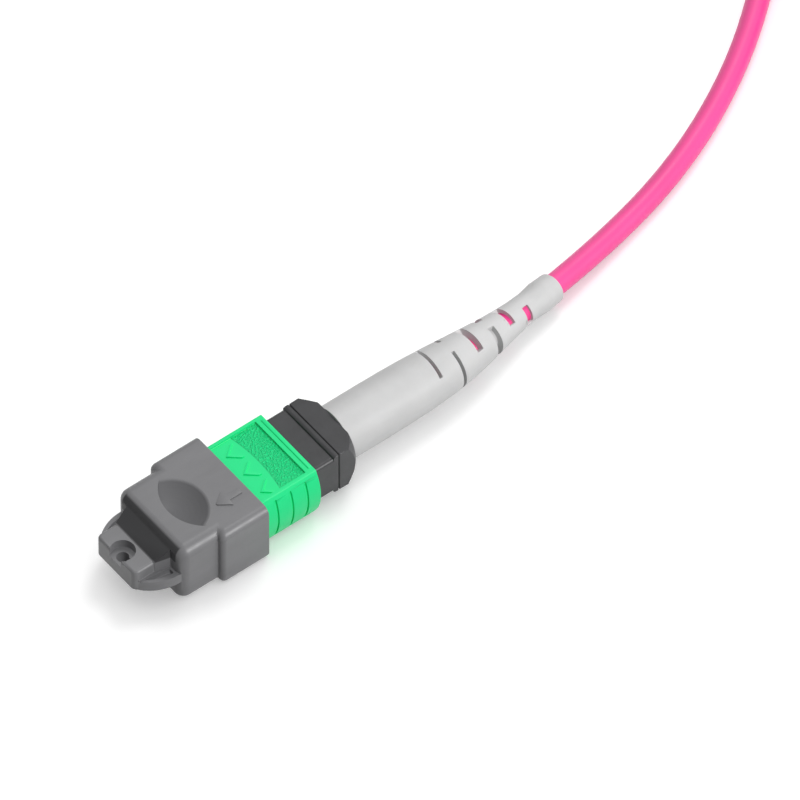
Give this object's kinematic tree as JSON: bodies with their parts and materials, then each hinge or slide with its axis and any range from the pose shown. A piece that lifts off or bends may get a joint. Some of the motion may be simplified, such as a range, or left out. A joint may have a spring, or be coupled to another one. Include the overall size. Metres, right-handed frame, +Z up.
{
  "type": "mpo fibre connector",
  "caption": "Multi-fibre push-on plug with sliding coupling sleeve, slotted bending boot, tabbed dust cap and a round cord put away in a coil.",
  "frame": {"origin": "under the middle of the connector (cord left out of the measure), on the surface it lies on", "axes": "+X from the dust cap towards the cord, +Z up, +Y to the left looking towards the cord"},
  "size_m": [0.1706, 0.0438, 0.0097],
  "materials": {
    "cap": "fine matt moulded grey plastic",
    "sleeve": "satin bright green plastic, fine grain at the rear",
    "housing": "satin black moulded plastic",
    "ferrule": "filled dark moulded polymer, fine matt",
    "steel": "bright drawn steel",
    "grommet": "soft matt rubber",
    "ribbon": "coated fibre ribbon",
    "yarn": "loose aramid yarn",
    "ring": "crimped bright metal",
    "boot": "pale grey soft moulding, satin",
    "cord": "satin magenta jacket",
    "shrink": "shrunk black sleeving"
  },
  "bodies": {
    "connector": {"plug_housing": "housing", "rear_housing": "housing", "strain_relief_boot": "boot", "crimp_ring": "ring", "aramid_yarn": "yarn", "fibre_ribbon": "ribbon", "ferrule_spring": "steel", "return_spring_left": "steel", "return_spring_right": "steel", "cord_jacket": "cord", "cord_coil": "cord", "stub_sleeve": "shrink", "stub_ribbon": "ribbon"},
    "cap": {"dust_cap": "cap"},
    "sleeve": {"coupling_sleeve": "sleeve"},
    "ferrule": {"mt_ferrule": "ferrule", "guide_pin_left": "steel", "guide_pin_right": "steel", "pin_keeper": "steel", "ferrule_grommet": "grommet"}
  },
  "joints": [
    {"name": "cap_pull", "type": "slide", "parent": "connector", "child": "cap", "axis": [-1, 0, 0], "range_m": [0, 0.025]},
    {"name": "sleeve_pull", "type": "slide", "parent": "connector", "child": "sleeve", "axis": [1, 0, 0], "range_m": [0, 0.0018], "stiffness_N_per_m": 200, "springref_m": -0.001, "deforming": ["return_spring_left", "return_spring_right"]},
    {"name": "ferrule_float", "type": "slide", "parent": "connector", "child": "ferrule", "axis": [1, 0, 0], "range_m": [0, 0.0005], "stiffness_N_per_m": 400, "springref_m": -0.001, "deforming": ["ferrule_spring"]}
  ]
}
